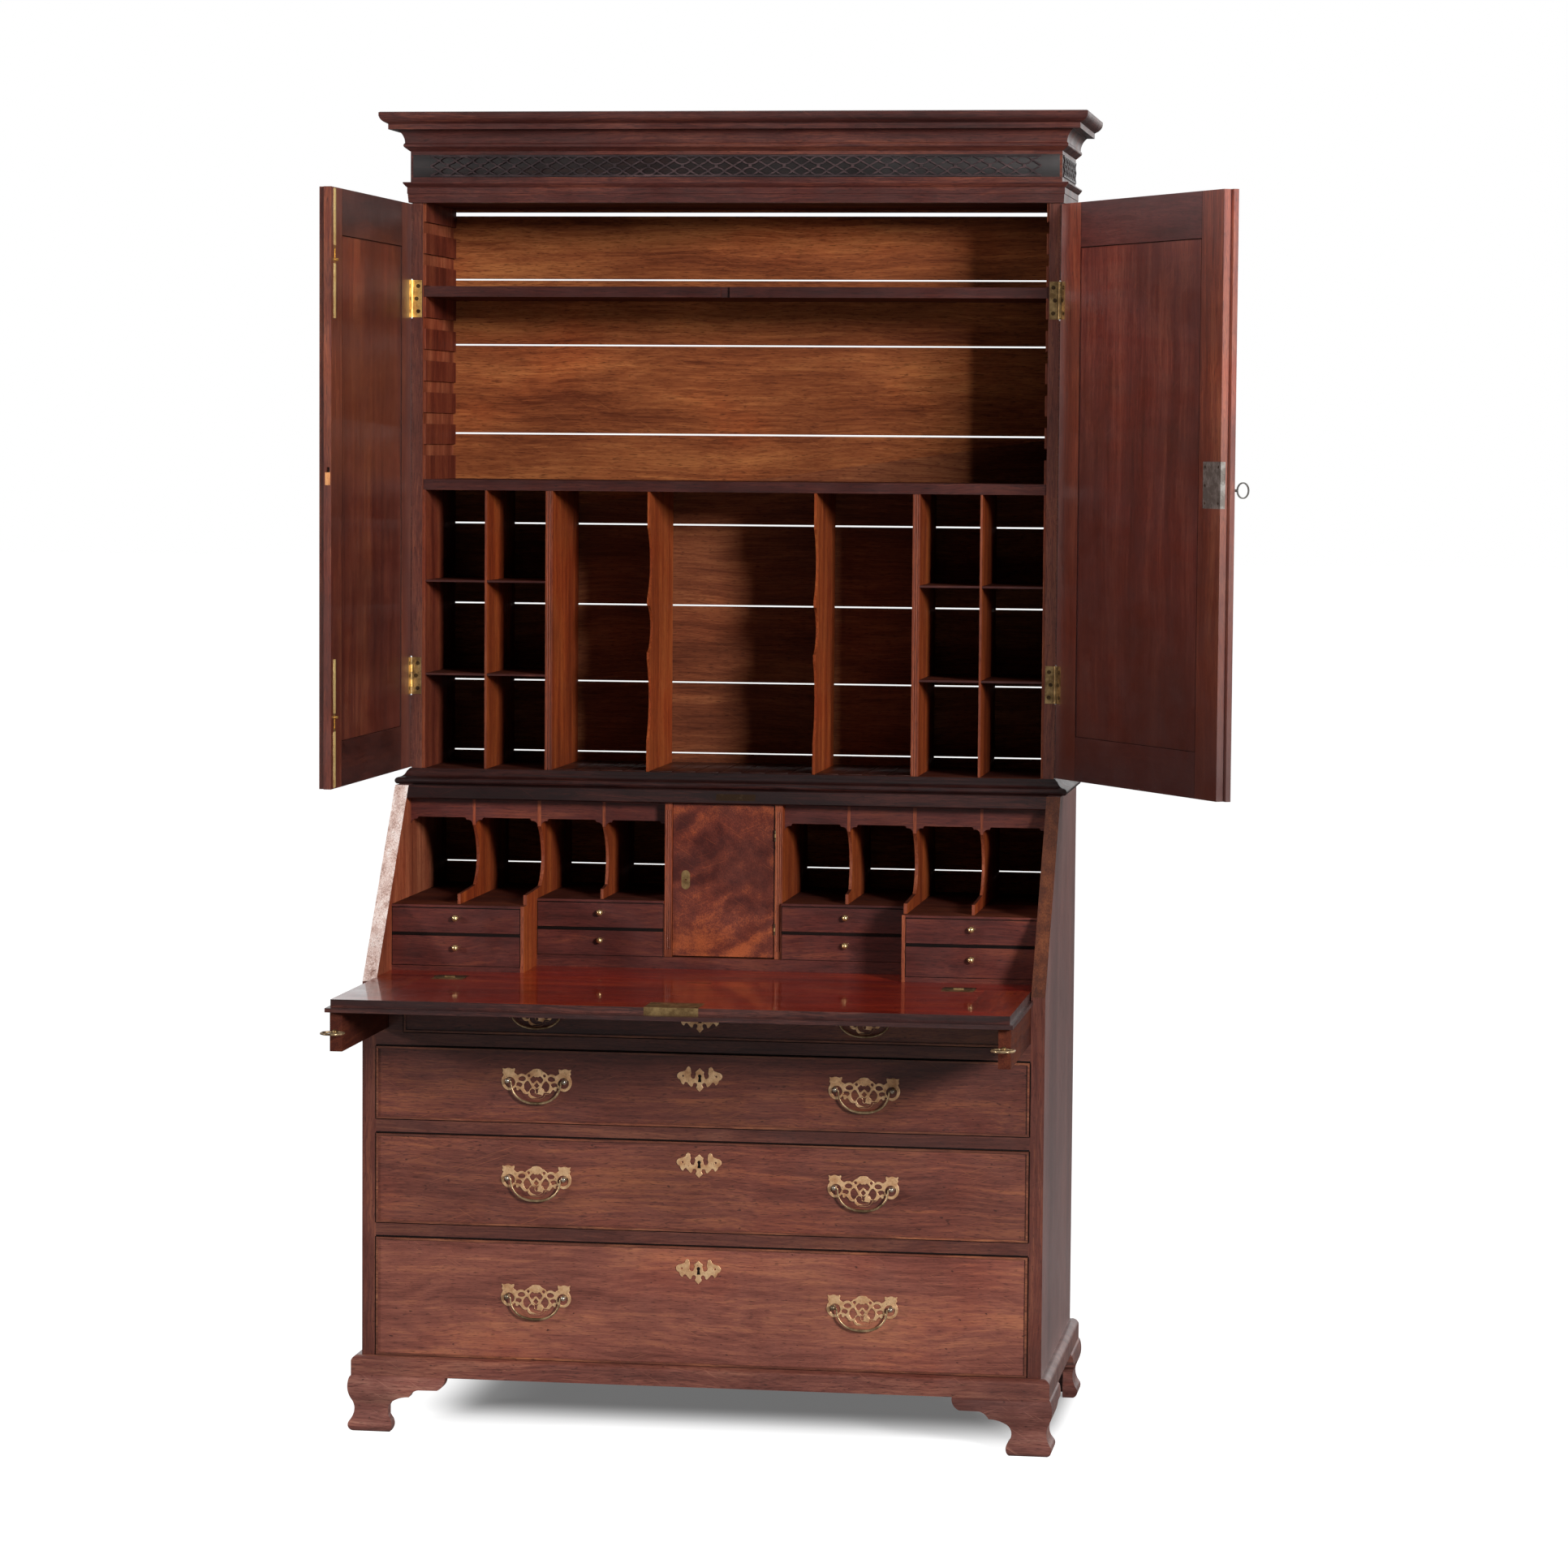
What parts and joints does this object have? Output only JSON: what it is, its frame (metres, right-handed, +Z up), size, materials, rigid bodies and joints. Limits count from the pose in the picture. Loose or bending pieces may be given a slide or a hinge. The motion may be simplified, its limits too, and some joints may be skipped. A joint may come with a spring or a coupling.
{
  "type": "secretary bookcase",
  "caption": "Mahogany secretary bookcase: graduated drawers on bracket feet, a sloping fall on pull-out lopers over a fitted gallery, and a two-door bookcase with fret frieze.",
  "frame": {"origin": "on the floor, under the middle of the chest's front edge", "axes": "+X to the right seen from the front, +Y to the back, +Z up"},
  "size_m": [1.5371, 0.9338, 2.267],
  "materials": {
    "mahogany": "waxed, satin",
    "oak": "dry, aged",
    "brass": "antique, satin",
    "steel": "dull, aged"
  },
  "bodies": {
    "carcass": {"desk_sides": "mahogany", "desk_top_board": "mahogany", "desk_back_boards": "oak", "writing_bed": "mahogany", "drawer_dividers": "mahogany", "case_mouldings": "mahogany", "bracket_feet": "mahogany", "gallery_carcass": "mahogany", "gallery_valances": "mahogany", "bookcase_sides": "mahogany", "bookcase_boards": "mahogany", "bookcase_back_boards": "oak", "letter_racks": "mahogany", "cornice": "mahogany", "frieze_fret": "mahogany", "case_brass": "brass"},
    "left_door": {"left_door_frame": "mahogany", "left_door_panel": "mahogany", "left_door_brass": "brass"},
    "left_top_bolt": {"left_top_bolt": "brass"},
    "left_bottom_bolt": {"left_bottom_bolt": "brass"},
    "right_door": {"right_door_frame": "mahogany", "right_door_panel": "mahogany", "right_door_brass": "brass", "right_door_lock": "steel"},
    "door_key": {"door_key": "steel"},
    "lock_bolt": {"lock_bolt": "steel"},
    "fall": {"fall_board": "mahogany", "fall_brass": "brass"},
    "prospect_door": {"prospect_door": "mahogany", "prospect_brass": "brass"},
    "adjustable_shelf": {"adjustable_shelf": "mahogany"},
    "left_loper": {"left_loper": "mahogany"},
    "left_loper_ring": {"left_loper_ring": "brass"},
    "right_loper": {"right_loper": "mahogany"},
    "right_loper_ring": {"right_loper_ring": "brass"},
    "left_outer_lower_drawer": {"left_outer_lower_drawer": "mahogany"},
    "right_outer_lower_drawer": {"right_outer_lower_drawer": "mahogany"},
    "left_outer_upper_drawer": {"left_outer_upper_drawer": "mahogany"},
    "right_outer_upper_drawer": {"right_outer_upper_drawer": "mahogany"},
    "left_inner_lower_drawer": {"left_inner_lower_drawer": "mahogany"},
    "right_inner_lower_drawer": {"right_inner_lower_drawer": "mahogany"},
    "left_inner_upper_drawer": {"left_inner_upper_drawer": "mahogany"},
    "right_inner_upper_drawer": {"right_inner_upper_drawer": "mahogany"},
    "bottom_drawer": {"bottom_drawer": "mahogany", "bottom_drawer_brass": "brass"},
    "bottom_drawer_left_bail": {"bottom_drawer_left_bail": "brass"},
    "bottom_drawer_right_bail": {"bottom_drawer_right_bail": "brass"},
    "third_drawer": {"third_drawer": "mahogany", "third_drawer_brass": "brass"},
    "third_drawer_left_bail": {"third_drawer_left_bail": "brass"},
    "third_drawer_right_bail": {"third_drawer_right_bail": "brass"},
    "second_drawer": {"second_drawer": "mahogany", "second_drawer_brass": "brass"},
    "second_drawer_left_bail": {"second_drawer_left_bail": "brass"},
    "second_drawer_right_bail": {"second_drawer_right_bail": "brass"},
    "top_drawer": {"top_drawer": "mahogany", "top_drawer_brass": "brass"},
    "top_drawer_left_bail": {"top_drawer_left_bail": "brass"},
    "top_drawer_right_bail": {"top_drawer_right_bail": "brass"}
  },
  "joints": [
    {"name": "left_door_hinge", "type": "hinge", "parent": "carcass", "child": "left_door", "pos_m": [-0.5692, 0.2976, 1.6163], "axis": [0, 0, -1], "range_deg": [-90.4, 84.6]},
    {"name": "right_door_hinge", "type": "hinge", "parent": "carcass", "child": "right_door", "pos_m": [0.5692, 0.2976, 1.6163], "axis": [0, 0, 1], "range_deg": [-122.5, 52.5]},
    {"name": "left_top_bolt_slide", "type": "slide", "parent": "left_door", "child": "left_top_bolt", "axis": [0, 0, 1], "range_m": [0, 0.016]},
    {"name": "left_bottom_bolt_slide", "type": "slide", "parent": "left_door", "child": "left_bottom_bolt", "axis": [0, 0, -1], "range_m": [0, 0.016]},
    {"name": "key_turn", "type": "hinge", "parent": "right_door", "child": "door_key", "pos_m": [0.87974, -0.14816, 1.626], "axis": [0.8434, 0.5373, 0], "range_deg": [0, 90]},
    {"name": "lock_bolt_slide", "type": "slide", "parent": "right_door", "child": "lock_bolt", "axis": [0.5373, -0.8434, 0], "range_m": [0, 0.007]},
    {"name": "fall_hinge", "type": "hinge", "parent": "carcass", "child": "fall", "pos_m": [0, 0.022, 0.783], "axis": [1, 0, 0], "range_deg": [-127.3, 0]},
    {"name": "prospect_door_hinge", "type": "hinge", "parent": "carcass", "child": "prospect_door", "pos_m": [0.0901, 0.23963, 0.936], "axis": [0, 0, 1], "range_deg": [0, 90]},
    {"name": "shelf_slide", "type": "slide", "parent": "carcass", "child": "adjustable_shelf", "axis": [0, -1, 0], "range_m": [0, 0.24]},
    {"name": "left_loper_slide", "type": "slide", "parent": "carcass", "child": "left_loper", "axis": [0, 1, 0], "range_m": [0, 0.328]},
    {"name": "left_ring_hinge", "type": "hinge", "parent": "left_loper", "child": "left_loper_ring", "pos_m": [-0.5503, -0.3375, 0.7297], "axis": [1, 0, 0], "range_deg": [0, 90]},
    {"name": "right_loper_slide", "type": "slide", "parent": "carcass", "child": "right_loper", "axis": [0, 1, 0], "range_m": [0, 0.328]},
    {"name": "right_ring_hinge", "type": "hinge", "parent": "right_loper", "child": "right_loper_ring", "pos_m": [0.5503, -0.3375, 0.7297], "axis": [1, 0, 0], "range_deg": [0, 90]},
    {"name": "left_outer_lower_drawer_slide", "type": "slide", "parent": "carcass", "child": "left_outer_lower_drawer", "axis": [0, -1, 0], "range_m": [0, 0.2]},
    {"name": "right_outer_lower_drawer_slide", "type": "slide", "parent": "carcass", "child": "right_outer_lower_drawer", "axis": [0, -1, 0], "range_m": [0, 0.2]},
    {"name": "left_outer_upper_drawer_slide", "type": "slide", "parent": "carcass", "child": "left_outer_upper_drawer", "axis": [0, -1, 0], "range_m": [0, 0.2]},
    {"name": "right_outer_upper_drawer_slide", "type": "slide", "parent": "carcass", "child": "right_outer_upper_drawer", "axis": [0, -1, 0], "range_m": [0, 0.2]},
    {"name": "left_inner_lower_drawer_slide", "type": "slide", "parent": "carcass", "child": "left_inner_lower_drawer", "axis": [0, -1, 0], "range_m": [0, 0.17]},
    {"name": "right_inner_lower_drawer_slide", "type": "slide", "parent": "carcass", "child": "right_inner_lower_drawer", "axis": [0, -1, 0], "range_m": [0, 0.17]},
    {"name": "left_inner_upper_drawer_slide", "type": "slide", "parent": "carcass", "child": "left_inner_upper_drawer", "axis": [0, -1, 0], "range_m": [0, 0.17]},
    {"name": "right_inner_upper_drawer_slide", "type": "slide", "parent": "carcass", "child": "right_inner_upper_drawer", "axis": [0, -1, 0], "range_m": [0, 0.17]},
    {"name": "bottom_drawer_slide", "type": "slide", "parent": "carcass", "child": "bottom_drawer", "axis": [0, -1, 0], "range_m": [0, 0.4]},
    {"name": "bottom_drawer_left_bail_hinge", "type": "hinge", "parent": "bottom_drawer", "child": "bottom_drawer_left_bail", "pos_m": [-0.281, -0.009, 0.2408], "axis": [-1, 0, 0], "range_deg": [0, 100]},
    {"name": "bottom_drawer_right_bail_hinge", "type": "hinge", "parent": "bottom_drawer", "child": "bottom_drawer_right_bail", "pos_m": [0.281, -0.009, 0.2408], "axis": [-1, 0, 0], "range_deg": [0, 100]},
    {"name": "third_drawer_slide", "type": "slide", "parent": "carcass", "child": "third_drawer", "axis": [0, -1, 0], "range_m": [0, 0.4]},
    {"name": "third_drawer_left_bail_hinge", "type": "hinge", "parent": "third_drawer", "child": "third_drawer_left_bail", "pos_m": [-0.281, -0.009, 0.4449], "axis": [-1, 0, 0], "range_deg": [0, 100]},
    {"name": "third_drawer_right_bail_hinge", "type": "hinge", "parent": "third_drawer", "child": "third_drawer_right_bail", "pos_m": [0.281, -0.009, 0.4449], "axis": [-1, 0, 0], "range_deg": [0, 100]},
    {"name": "second_drawer_slide", "type": "slide", "parent": "carcass", "child": "second_drawer", "axis": [0, -1, 0], "range_m": [0, 0.4]},
    {"name": "second_drawer_left_bail_hinge", "type": "hinge", "parent": "second_drawer", "child": "second_drawer_left_bail", "pos_m": [-0.281, -0.009, 0.612], "axis": [-1, 0, 0], "range_deg": [0, 100]},
    {"name": "second_drawer_right_bail_hinge", "type": "hinge", "parent": "second_drawer", "child": "second_drawer_right_bail", "pos_m": [0.281, -0.009, 0.612], "axis": [-1, 0, 0], "range_deg": [0, 100]},
    {"name": "top_drawer_slide", "type": "slide", "parent": "carcass", "child": "top_drawer", "axis": [0, -1, 0], "range_m": [0, 0.4]},
    {"name": "top_drawer_left_bail_hinge", "type": "hinge", "parent": "top_drawer", "child": "top_drawer_left_bail", "pos_m": [-0.281, -0.009, 0.7336], "axis": [-1, 0, 0], "range_deg": [0, 100]},
    {"name": "top_drawer_right_bail_hinge", "type": "hinge", "parent": "top_drawer", "child": "top_drawer_right_bail", "pos_m": [0.281, -0.009, 0.7336], "axis": [-1, 0, 0], "range_deg": [0, 100]}
  ],
  "couplings": [
    {"joint": "lock_bolt_slide", "follows": "key_turn", "m_per_rad": 0.0044562}
  ]
}
